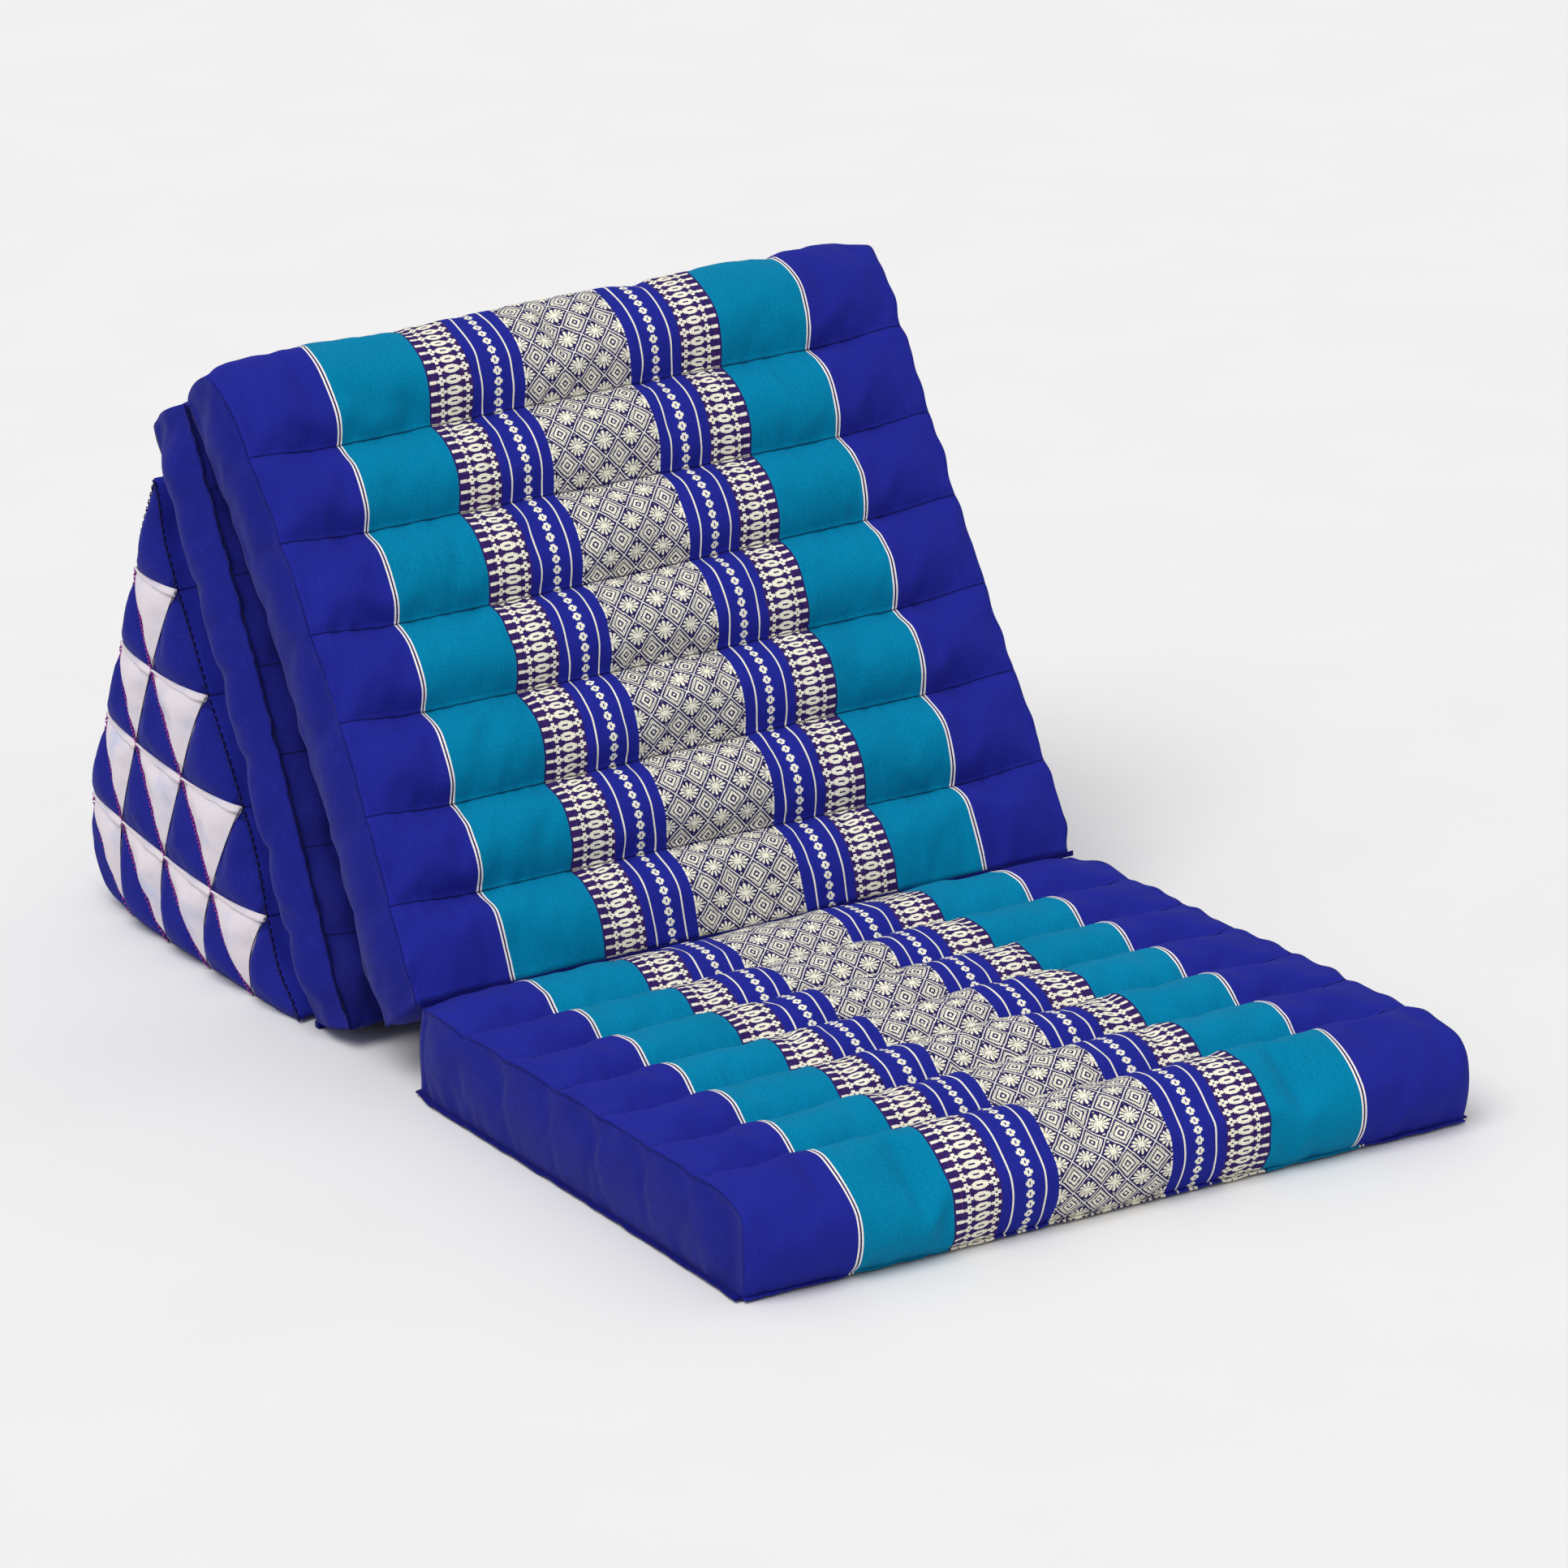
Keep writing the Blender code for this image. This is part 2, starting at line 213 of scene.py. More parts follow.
def flowerLattice(tree, across, along):
    # Rosettes and framed squares in turn, in diamonds.
    wide, tall = weave["diamondWide"], weave["diamondTall"]
    u = node(tree, "Math:DIVIDE", node(tree, "Math:SNAP", across, weave["thread"]), wide)
    v = node(tree, "Math:DIVIDE", node(tree, "Math:SNAP", along, weave["thread"]), tall)
    s, t = node(tree, "Math:ADD", u, v), node(tree, "Math:SUBTRACT", u, v)
    sCell, tCell = node(tree, "Math:ROUND", s), node(tree, "Math:ROUND", t)
    sIn, tIn = node(tree, "Math:SUBTRACT", s, sCell), node(tree, "Math:SUBTRACT", t, tCell)
    # From 0 at the middle of a diamond to 1 at its edge
    reach = node(tree, "Math:MULTIPLY", node(tree, "Math:MAXIMUM", node(tree, "Math:ABSOLUTE", sIn),
                 node(tree, "Math:ABSOLUTE", tIn)), 2.0)
    isSquare = node(tree, "Math:FLOORED_MODULO", node(tree, "Math:ADD", sCell, tCell), 2.0)
    # The rosette: petals with dark slits between them
    du = node(tree, "Math:ABSOLUTE", node(tree, "Math:MULTIPLY", node(tree, "Math:ADD", sIn, tIn),
              wide / 2 / weave["rosetteHalfWide"]))
    dv = node(tree, "Math:ABSOLUTE", node(tree, "Math:MULTIPLY", node(tree, "Math:SUBTRACT", sIn, tIn),
              tall / 2 / weave["rosetteHalfTall"]))
    lobes = node(tree, "Math:COSINE", node(tree, "Math:MULTIPLY",
                 node(tree, "Math:ARCTAN2", dv, node(tree, "Math:ADD", du, 0.001)), weave["petals"]))
    radius = node(tree, "Math:SQRT", node(tree, "Math:ADD",
                  node(tree, "Math:MULTIPLY", du, du), node(tree, "Math:MULTIPLY", dv, dv)))
    petals = node(tree, "Math:LESS_THAN", radius, node(tree, "Math:MULTIPLY_ADD", lobes, 0.16, 0.86))
    slits = node(tree, "Math:MULTIPLY", node(tree, "Math:LESS_THAN", lobes, -0.50),
                 node(tree, "Math:GREATER_THAN", radius, 0.28))
    rosette = node(tree, "Math:MULTIPLY", petals, node(tree, "Math:SUBTRACT", 1.0, slits))
    rosette = node(tree, "Math:MULTIPLY", rosette, node(tree, "Math:LESS_THAN", reach, 0.80))
    # The framed square: a dot, a frame, and a frame of floats
    frames = steppedRamp(tree, reach, [(edge, (light, light, light, 1)) for edge, light in weave["frames"]])
    pick = node(tree, "Math:FLOOR", node(tree, "Math:DIVIDE", along, weave["pickTall"]))
    shifted = node(tree, "Math:ADD", across, node(tree, "Math:MULTIPLY", pick, weave["floatShift"]))
    floats = node(tree, "Math:LESS_THAN",
                  node(tree, "Math:FLOORED_MODULO", shifted, weave["floatPitch"]), weave["floatLong"])
    square = node(tree, "Math:GREATER_THAN",
                  node(tree, "Math:ADD", frames, node(tree, "Math:MULTIPLY", floats, 0.4)), 0.8)
    # Chevrons of floats fill the cell above and below the rosette
    chevron = node(tree, "Math:MULTIPLY", within(tree, reach, 0.68, 0.79),
                   node(tree, "Math:MULTIPLY", floats, node(tree, "Math:GREATER_THAN", radius, 1.20)))
    rosette = node(tree, "Math:MAXIMUM", rosette, chevron)
    inside = node(tree, "Math:ADD",
                  node(tree, "Math:MULTIPLY", rosette, node(tree, "Math:SUBTRACT", 1.0, isSquare)),
                  node(tree, "Math:MULTIPLY", square, isSquare))
    line = node(tree, "Math:GREATER_THAN", reach, 0.948)
    light = node(tree, "Math:MAXIMUM", line, inside)
    return light, line, node(tree, "Math:LESS_THAN", across, weave["latticeHalf"])


def beadRows(tree, across, along):
    # A chain of pierced beads, and the ikat border's beads and spears, in rows across the mat.
    pitch = matPitch / weave["beadsPerChannel"]
    row = node(tree, "Math:DIVIDE", along, pitch)
    fromRow = node(tree, "Math:MULTIPLY", node(tree, "Math:ABSOLUTE",
                   node(tree, "Math:SUBTRACT", row, node(tree, "Math:ROUND", row))), pitch)
    u = node(tree, "Math:SNAP", across, weave["thread"])
    y = node(tree, "Math:SNAP", fromRow, weave["thread"])

    def block(centre, halfWide, halfTall):
        off = node(tree, "Math:ABSOLUTE", node(tree, "Math:SUBTRACT", u, centre))
        return node(tree, "Math:MULTIPLY", node(tree, "Math:LESS_THAN", off, halfWide),
                    node(tree, "Math:LESS_THAN", y, halfTall))

    beads = 0.0
    for size in beadBlocks:
        beads = node(tree, "Math:MAXIMUM", beads, block(*size))
    for size in beadHoles:
        beads = node(tree, "Math:SUBTRACT", beads, block(*size))
    return node(tree, "Math:MAXIMUM", beads, 0.0)


def seamShade(tree, along, pitch, channels):
    # 1 along the needle line of each seam between two channels, fading within a millimetre of it: the seam's
    # dark stitching together with painted shade in the crease it pulls
    row = node(tree, "Math:DIVIDE", along, pitch)
    seam = node(tree, "Math:ROUND", row)
    off = node(tree, "Math:ABSOLUTE", node(tree, "Math:SUBTRACT", row, seam))
    near = node(tree, "MapRange", node(tree, "Math:MULTIPLY", off, pitch), 0.35, 1.1, 1.0, 0.0)
    return node(tree, "Math:MULTIPLY", near, within(tree, seam, 0.5, channels - 0.5))


def weftDashes(tree, across, along, contrast):
    # Thicker and thinner picks show as short dashes across the cloth
    dash = clothNoise(tree, across, along, 0.55, 0.95, 2.0)
    return node(tree, "MapRange", dash, 0.3, 0.7, -contrast, contrast)


def paintSeamShade(tree, colour, strength):
    # Painted shade darkens the colour in the last millimetre or two before a seam, where the cloth creases in
    nearness = node(tree, "Attribute", attribute_name="pucker", out=2)
    near = node(tree, "MapRange", nearness, 0.86, 1.0, 0.0, strength)
    return node(tree, "MixRGB", near, colour, dyed("seamShade"))


def wovenCotton(name, channels, pitch):
    # Cotton woven on a warp dyed in stripes and tied for ikat, with figures in floats of cream thread:
    # matte, with steps at the threads. The channels' seams are a pitch in millimetres apart.
    made, tree, shader = newCloth(name, 0.85, 0.02)
    across, along = clothSpace(tree)
    across = node(tree, "Math:ABSOLUTE", across)
    colour = bandRamp(tree, across)
    # Unevenly dyed warp threads run the length of each stripe
    streak = clothNoise(tree, across, along, 0.9, 0.05, 3.0)
    cloud = clothNoise(tree, across, along, 0.02, 0.02, 3.0)
    tone = node(tree, "Math:ADD", node(tree, "MapRange", streak, 0.3, 0.7, 0.95, 1.05),
                node(tree, "MapRange", cloud, 0.3, 0.7, -0.05, 0.05))
    tone = node(tree, "Math:ADD", tone, weftDashes(tree, across, along, 0.14))
    ground = node(tree, "MapRange", streak, 0.45, 0.62, 0.0, 1.0)
    ground = node(tree, "Math:MULTIPLY", ground, within(tree, across, *weave["ikat"]))
    colour = node(tree, "MixRGB", ground, colour, dyed("ikatStreak"))
    light, line, inLattice = flowerLattice(tree, across, along)
    lattice = node(tree, "MixRGB", light, dyed("navy"), dyed("cream"))
    lattice = node(tree, "MixRGB", line, lattice, dyed("whiteThread"))
    colour = node(tree, "MixRGB", inLattice, colour, lattice)
    beads = beadRows(tree, across, along)
    colour = node(tree, "MixRGB", beads, colour, dyed("cream"))
    colour = node(tree, "VectorMath:SCALE", colour, Scale=tone)
    # painted shade in the creases at the channel seams, over their stitching
    seamLineShade = node(tree, "Math:MULTIPLY", seamShade(tree, along, pitch, channels), 0.75)
    colour = node(tree, "MixRGB", seamLineShade, colour, dyed("seamShade"))
    tree.links.new(colour, shader.inputs["Base Color"])
    # The pattern's threads float above the ground
    raised = node(tree, "Math:MAXIMUM", node(tree, "Math:MULTIPLY", light, inLattice), beads)
    threadBump(tree, shader, across, along, 0.00035, raised)
    return made


def plainCotton(name, dye, stitched=False, channelled=False):
    # Plain-woven dyed cotton: matte, fine-grained, a little paler where it is rubbed, and with painted shade
    # near its seams.
    made, tree, shader = newCloth(name, 0.88, 0.05)
    across, along = clothSpace(tree)
    threads = threadBump(tree, shader, across, along, 0.00035)
    cloud = clothNoise(tree, across, along, 0.03, 0.03, 4.0)
    rubbed = node(tree, "Math:MULTIPLY", node(tree, "MapRange", threads, 0.7, 1.3, 0.0, 1.0),
                  node(tree, "MapRange", cloud, 0.3, 0.7, 0.4, 1.0))
    colour = node(tree, "MixRGB", rubbed, dyed(dye + "Shade"), dyed(dye))
    tone = node(tree, "Math:ADD", 1.0, weftDashes(tree, across, along, 0.10))
    colour = node(tree, "VectorMath:SCALE", colour, Scale=tone)
    if stitched:
        # Running stitches just inside the strip's edge, in millimetres
        fromEdge, halfWide, pitch, long = 1.6, 0.45, 3.2, 2.3
        offLine = node(tree, "Math:ABSOLUTE", node(tree, "Math:SUBTRACT", along, fromEdge))
        beat = node(tree, "Math:FLOORED_MODULO", across, pitch)
        stitch = node(tree, "Math:MULTIPLY", node(tree, "Math:LESS_THAN", offLine, halfWide),
                      node(tree, "Math:LESS_THAN", beat, long))
        colour = node(tree, "MixRGB", node(tree, "Math:MULTIPLY", stitch, 0.8), colour, dyed("stitch"))
    if channelled:
        # painted shade in the creases at the channel seams on the back, over their stitching
        seamLineShade = node(tree, "Math:MULTIPLY", seamShade(tree, along, matPitch, mat["channels"]), 0.8)
        colour = node(tree, "MixRGB", seamLineShade, colour, dyed("seamShade"))
    # painted shade in the last millimetre or two before each seam
    tree.links.new(paintSeamShade(tree, colour, 0.45), shader.inputs["Base Color"])
    return made


def rubbedMuslin(name):
    # Thin undyed muslin that the blue cloth has rubbed off on: pinkish white with blue-grey smudges, and
    # painted shade near its seams.
    made, tree, shader = newCloth(name, 0.88, 0.05)
    across, along = clothSpace(tree)
    cloud = clothNoise(tree, across, along, 0.035, 0.035, 3.0)
    smudge = node(tree, "MapRange", cloud, 0.52, 0.75, 0.0, 0.75)
    colour = node(tree, "MixRGB", smudge, dyed("patchWhite"), dyed("smudge"))
    # painted shade in the last millimetre or two before each seam
    tree.links.new(paintSeamShade(tree, colour, 0.22), shader.inputs["Base Color"])
    threadBump(tree, shader, across, along, 0.0003)
    return made


sectionCloth = wovenCotton("wovenStripedCotton", mat["channels"], matPitch)
wedgeCloth = wovenCotton("wovenStripedCottonWedge", 5, 78.0)
stripCloth = plainCotton("royalBlueCotton", "royal", stitched=True)
backCloth = plainCotton("royalBlueBackCotton", "royal", channelled=True)
patchBlue = plainCotton("patchBlueCotton", "patchBlue")
patchWhite = rubbedMuslin("patchMuslin")
seamCloth = plainCotton("seamAllowanceCotton", "allowance")
overlockThread = plainCotton("overlockThread", "overlock")
ridgeCloth = plainCotton("ridgeCotton", "ridge")
navyThread = plainCotton("navyThread", "navyThread")
print("materials made")


# Shapes shared by the filled pieces

# Kapok fills a cotton cover: settings of the cloth simulation, and how much larger the cover is cut
# than its seams let it lie.
filling = {
    "pressure": 4.0, "slack": 0.03, "frames": 20, "quality": 5,
    "mass": 0.25, "tension": 12, "shear": 4, "bending": 0.3,
}


def clamp(t):
    return min(max(t, 0.0), 1.0)


def smooth(t):
    t = clamp(t)
    return t * t * (3.0 - 2.0 * t)


def mix(a, b, t):
    return a + (b - a) * t


nearFace = 0.999  # past this, a place from -1 to 1 counts as on a face of the plain shape


def onFace(distance):
    # 1 on a face of the plain shape itself, and 0 anywhere off it
    return max(0.0, 1 - distance * 400)


def channelArc(along, channels):
    # 0 at each seam across the mat and 1 halfway between two seams
    place = (along * channels) % 1.0
    return 1.0 - abs(2.0 * place - 1.0) ** 2.7


def cutAlong(bm, axis, pieces):
    # Splits every edge that runs along one axis into equal pieces
    edges = [e for e in bm.edges if abs((e.verts[1].co - e.verts[0].co)[axis]) > 0.9 * e.calc_length()]
    bmesh.ops.subdivide_edges(bm, edges=edges, cuts=pieces - 1, use_grid_fill=True)


def newCover():
    # An empty cover, with what its points and edges will say: the cloth's coordinates, how far a point
    # may swell, how near a seam it is, how sharp an edge stays and which points are sewn down.
    bm = bmesh.new()
    layers = {
        "cloth": bm.loops.layers.uv.new("cloth"),
        "cap": bm.verts.layers.float.new("cap"),
        "pucker": bm.verts.layers.float.new("pucker"),
        "crease": bm.edges.layers.float.new("crease_edge"),
        "pins": bm.verts.layers.deform.verify(),
    }
    return bm, layers


def newPiece(bm, name, materials):
    mesh = bpy.data.meshes.new(name)
    bm.to_mesh(mesh)
    bm.free()
    for material in materials:
        mesh.materials.append(material)
    mesh.shade_smooth()
    piece = bpy.data.objects.new(name, mesh)
    sceneNow.collection.objects.link(piece)
    return piece


def points(mesh):
    flat = np.empty(len(mesh.vertices) * 3, dtype=np.float32)
    mesh.vertices.foreach_get("co", flat)
    return flat.reshape(-1, 3)


def inflate(piece):
    # Fills the cover: pressure swells it between its seams, which are pinned, and the cap holds it
    # near its shape.
    base = points(piece.data)
    caps = np.empty(len(base), dtype=np.float32)
    piece.data.attributes["cap"].data.foreach_get("value", caps)
    cloth = piece.modifiers.new("filling", "CLOTH")
    cloth.settings.quality = filling["quality"]
    cloth.settings.mass = filling["mass"]
    cloth.settings.tension_stiffness = filling["tension"]
    cloth.settings.compression_stiffness = filling["tension"]
    cloth.settings.shear_stiffness = filling["shear"]
    cloth.settings.bending_stiffness = filling["bending"]
    cloth.settings.use_pressure = True
    cloth.settings.uniform_pressure_force = filling["pressure"]
    cloth.settings.shrink_min = -filling["slack"]
    cloth.settings.vertex_group_mass = "seams"
    cloth.settings.effector_weights.gravity = 0
    cloth.collision_settings.use_collision = False
    cloth.point_cache.frame_start = 1
    cloth.point_cache.frame_end = filling["frames"]
    for step in range(1, filling["frames"] + 1):
        sceneNow.frame_set(step)
    seen = piece.evaluated_get(bpy.context.evaluated_depsgraph_get())
    moved = points(seen.to_mesh()) - base
    seen.to_mesh_clear()
    piece.modifiers.remove(cloth)
    sceneNow.frame_set(1)
    far = np.linalg.norm(moved, axis=1)
    keep = np.minimum(1.0, caps / np.maximum(far, 1e-9))
    piece.data.vertices.foreach_set("co", (base + moved * keep[:, None]).ravel())
    piece.data.update()
    swell = round(float((far * keep).max()) * 1000, 1)
    print(piece.name, "swelled by up to", swell, "mm")


def refine(piece):
    # One subdivision, applied, so that the puckers after it have points to move.
    finer = piece.modifiers.new("finer", "SUBSURF")
    finer.levels = finer.render_levels = 1
    seen = piece.evaluated_get(bpy.context.evaluated_depsgraph_get())
    mesh = bpy.data.meshes.new_from_object(seen)
    piece.modifiers.remove(finer)
    old = piece.data
    piece.data = mesh
    bpy.data.meshes.remove(old)


def fillCover(bm, name, materials):
    if bm.calc_volume(signed=True) < 0:
        bmesh.ops.reverse_faces(bm, faces=bm.faces)
    piece = newPiece(bm, name, materials)
    piece.vertex_groups.new(name="seams")
    inflate(piece)
    refine(piece)
    return piece


def pucker(piece, height):
    # Moves each point along its normal by height(place, near), where near is how near a seam is.
    mesh = piece.data
    nearness = np.empty(len(mesh.vertices), dtype=np.float32)
    mesh.attributes["pucker"].data.foreach_get("value", nearness)
    where = points(mesh)
    normals = np.empty(len(where) * 3, dtype=np.float32)
    mesh.vertices.foreach_get("normal", normals)
    normals = normals.reshape(-1, 3)
    lift = np.array([height(Vector(p), float(n)) for p, n in zip(where, nearness)], dtype=np.float32)
    mesh.vertices.foreach_set("co", (where + normals * lift[:, None]).ravel())
    mesh.update()


# Mat sections

# Places are (y, z) from the seam between seat and backrest. A section's foot is its lower or rear end,
# and its head the other one. Crown, valley and belly shape the channels, and a cap says how far the
# filling may swell a cloth beyond them. The shares and stripPinch are parts of 1.
sections = {
    "seat": {
        "node": "seat_section",
        "faceFoot": (-0.0014, 0.0655), "faceHead": (-0.4270, 0.0655),
        "backFoot": (0.0060, 0.0), "backHead": (-0.4230, 0.0),
        "crown": 0.0050, "valley": 0.0094, "belly": 0.0020, "backCrown": 0.0, "backShare": 0.0,
        "stripBulge": 0.0040, "stripPinch": 0.03, "footBulge": 0.0030, "footRound": 0.0045,
        "headBulge": 0.0150, "headDrop": 0.0170, "sideDropShare": 0.50, "backRound": 0.0,
        "drawLeft": 0.0020, "drawRight": 0.0020, "widerRight": 0.0110, "longerRight": 0.0130,
        "faceCap": 0.0060, "stripCap": 0.0022, "backCap": 0.0,
    },
    "backrest": {
        "node": "backrest_section",
        "faceFoot": (0.0012, 0.0660), "faceHead": (0.2425, 0.4430),
        "backFoot": (0.0551, 0.0315), "backHead": (0.2930, 0.4107),
        "crown": 0.0052, "valley": 0.0096, "belly": 0.0040, "backCrown": 0.0190, "backShare": 0.30,
        "stripBulge": 0.0060, "stripPinch": 0.05, "footBulge": 0.0030, "footRound": 0.0040,
        "headBulge": 0.0160, "headDrop": 0.0110, "sideDropShare": 1.0, "backRound": 0.0005,
        "drawLeft": 0.0100, "drawRight": 0.0030, "widerRight": 0.0020, "longerRight": 0.0080,
        "faceCap": 0.0060, "stripCap": 0.0022, "backCap": 0.0020,
    },
    "folded": {
        "node": "folded_section",
        "faceFoot": (0.1580, 0.0050), "faceHead": (0.3510, 0.3805),
        "backFoot": (0.1040, 0.0160), "backHead": (0.2950, 0.4096),
        "crown": 0.0030, "valley": 0.0050, "belly": 0.0, "backCrown": 0.0240, "backShare": 0.60,
        "stripBulge": 0.0125, "stripPinch": 0.26, "footBulge": 0.0030, "footRound": 0.0030,
        "headBulge": 0.0090, "headDrop": 0.0050, "sideDropShare": 1.0, "backRound": 0.0,
        "drawLeft": 0.0030, "drawRight": 0.0050, "widerRight": 0.0, "longerRight": 0.0,
        "faceCap": 0.0012, "stripCap": 0.0022, "backCap": 0.0020,
    },
}
gapAtFoot, gapAtHead, gapKept = 0.0480, 0.0022, 0.0030  # between the backs of backrest and folded section


def sectionPoint(shape, corner):
    # Maps a point of the cube from -1 to 1 to its place on the filled section.
    channels = mat["channels"]
    across, along, through = corner.x, (corner.y + 1) / 2, (1 - corner.z) / 2
    face = Vector(shape["faceFoot"]).lerp(Vector(shape["faceHead"]), along)
    back = Vector(shape["backFoot"]).lerp(Vector(shape["backHead"]), along)
    run = (Vector(shape["faceHead"]) - Vector(shape["faceFoot"])).normalized()
    out = (face - back).normalized()
    toSide, toEnd = 1 - abs(across), min(along, 1 - along)
    fromEnd = min(1.0, toEnd * channels)
    arc = channelArc(along, channels)

    # The seams wander, and lift a little towards the sides
    seam = min(max(round(along * channels), 1), channels - 1)
    near = (1 - min(abs(along * channels - seam), 1.0)) * smooth(fromEnd)
    wander = mat["seamWander"][seam - 1] * math.cos(2.2 * across + seam)
    shift = (wander + mat["edgeLift"] * smooth((abs(across) - 0.7) / 0.3)) * near
    shift += shape["longerRight"] * (across + 1) / 2 * along

    # The channels are shallower at the sides, and the last one falls to the head
    sideFade = mix(mat["sideDepth"], 1.0, smooth(toSide / mat["sideFade"]))
    height = (shape["crown"] * arc - shape["valley"] * fromEnd * (1 - arc)) * sideFade
    height += shape["belly"] * math.sin(math.pi * along) * (1 - across**2)
    dropShare = mix(shape["sideDropShare"], 1.0, smooth(toSide / mat["headFade"]))
    inHead = clamp(((along - 1) * channels + mat["headReach"]) / mat["headReach"])
    height -= dropShare * shape["headDrop"] * inHead ** 2.2
    footIn = shape["footRound"] * (1 - smooth(along * 13)) ** 1.5
    height -= 0.8 * footIn * smooth((abs(across) - 0.88) / 0.12)

    # The back fills a share of the gap behind it
    backOut = 0.0
    if shape["backCrown"] > 0:
        room = mix(gapAtFoot, gapAtHead, along) - gapKept
        backOut = min(shape["backCrown"], shape["backShare"] * max(room, 0)) * (0.62 + 0.38 * arc)
        backOut *= smooth(toEnd * channels * 1.5) * smooth(toSide / 0.03)

    top = face + out * height + run * shift
    under = back - out * backOut + run * shift
    spot = top.lerp(under, through)

    # Strip, foot and head swell out of their own faces
    swell = math.sin(math.pi * clamp((through - 0.06) / 0.90)) ** 1.3
    headSwell = math.sin(math.pi * clamp(through) ** 0.85) ** 0.65
    endsIn = 1 - 0.6 * abs(across) ** 12
    atFoot, atHead = onFace(along), onFace(1 - along)
    spot += run * endsIn * (headSwell * shape["headBulge"] * atHead - swell * shape["footBulge"] * atFoot)
    draw = shape["drawLeft"] if across < 0 else shape["drawRight"]
    half = mat["width"] / 2 - draw * math.sin(math.pi * along) ** 0.8
    if across > 0:
        half += shape["widerRight"] * along**1.5
    half -= footIn
    endFade = 1 - 0.7 * (1 - smooth(toEnd * 10))
    pinch = 1 - shape["stripPinch"] * (1 - arc) * smooth(through * 2) * smooth(fromEnd)
    backEdge = clamp((through - 0.72) / 0.28)
    half -= shape["backRound"] * (1 - math.sqrt(1 - backEdge * backEdge))
    x = across * half + math.copysign(shape["stripBulge"], across) * swell * onFace(toSide) * endFade * pinch
    return Vector((x, spot.x, spot.y)) + seamPlace


def clothRun(shape):
    # How far along the cloth each place lies: evenly over the crowns, with every seam on its own line.
    channels, steps = mat["channels"], 40
    pitch = mat["length"] / channels
    onPanel = [i / (channels * steps) for i in range(channels * steps + 1)]
    onHead = [i / steps for i in range(1, steps + 1)]
    spots = [sectionPoint(shape, Vector((0, -1 + 2 * t, 1))) for t in onPanel]
    spots += [sectionPoint(shape, Vector((0, 1, 1 - 2 * t))) for t in onHead]
    lengths = [0.0]
    for a, b in zip(spots, spots[1:]):
        lengths.append(lengths[-1] + (b - a).length)
    evenly = pitch * (channels - 1) / lengths[(channels - 1) * steps]
    places = []
    for index, length in enumerate(lengths):
        channel = min(index // steps, channels - 1)
        start, end = lengths[channel * steps], lengths[(channel + 1) * steps]
        scale = pitch / (end - start) if channel < channels - 1 else evenly
        places.append(channel * pitch + (length - start) * scale)
    params = onPanel + [1 + t for t in onHead]
    return lambda t: float(np.interp(t, params, places))


def nearOne(value):
    return abs(abs(value) - 1) < 1e-5


def layCloths(bm, layers, shape):
    # The patterned panel covers face and head, and the strip and the back are plain.
    run = clothRun(shape)
    for face in bm.faces:
        middle = face.calc_center_median()
        axis = max(range(3), key=lambda i: abs(middle[i]))
        onPanel = axis == 2 and middle.z > 0
        onHead = axis == 1 and middle.y > 0
        onUnder = axis == 2 and middle.z < 0
        if onPanel or onHead:
            face.material_index = 0
        elif onUnder and shape["backCrown"] > 0:
            face.material_index = 2
        else:
            face.material_index = 1
        for loop in face.loops:
            c = loop.vert.co
            x = sectionPoint(shape, Vector((c.x, c.y, nearFace))).x - seamPlace.x
            along, down = (c.y + 1) / 2 * mat["length"], (1 - c.z) / 2 * mat["thick"]
            if onPanel:
                uv = (x, run((c.y + 1) / 2))
            elif onHead:
                uv = (x, run(1 + (1 - c.z) / 2))
            elif onUnder:
                uv = (x, along)
            elif axis == 0:
                uv = (along, down)
            else:
                uv = (x, along - down)
            loop[layers["cloth"]].uv = uv


def pinSection(bm, layers, shape):
    # Pins the seams, caps the swell of each cloth and marks how near a seam each point is.
    channels, padded = mat["channels"], shape["backCrown"] > 0
    gatherReach, rowPitch, halfWide, halfThick, noRow = 9.0, 64.0, 260.0, 33.0, 99.0  # millimetres
    pinned = set()
    for vert in bm.verts:
        c = vert.co
        onPanel, onUnder = c.z > nearFace, c.z < -nearFace
        row = (c.y + 1) / 2 * channels
        onRow = abs(row - round(row)) < 1e-4 and 0 < round(row) < channels
        held = nearOne(c.x) and (nearOne(c.y) or nearOne(c.z))
        held = held or (onUnder and (nearOne(c.y) or not padded))
        held = held or (onPanel and (c.y < -nearFace or onRow))
        if held:
            pinned.add(vert)
            vert[layers["pins"]][0] = 1.0
        if onPanel or c.y > nearFace:
            vert[layers["cap"]] = shape["faceCap"]
        elif onUnder:
            vert[layers["cap"]] = shape["backCap"]
        else:
            vert[layers["cap"]] = shape["stripCap"]
        toRow = noRow
        if onPanel or (onUnder and padded):
            toRow = abs(row - min(max(round(row), 1), channels - 1)) * rowPitch
        toSide = (1 - abs(c.x)) * halfWide if onPanel else (1 - abs(c.z)) * halfThick
        vert[layers["pucker"]] = math.exp(-min(toRow, toSide * 1.3) / gatherReach)
    for edge in bm.edges:
        a, b = edge.verts
        onBack = a.co.z < -nearFace and b.co.z < -nearFace
        softBack = onBack and (shape["backRound"] > 0 or not nearOne(a.co.x))
        if a in pinned and b in pinned and (not softBack or nearOne(a.co.x)):
            edge[layers["crease"]] = 0.45 if softBack else 1.0


def gathers(place, near):
    # Gathers lie square to the seams and fade within a finger's width of them
    gather = 0.0026 * near * noise.noise(Vector((place.x * 135, place.y * 55, place.z * 55)))
    unevenness = 0.0012 * noise.noise(place * 24.0) * (1 - near)
    return (gather + unevenness) * smooth(place.z / 0.012)


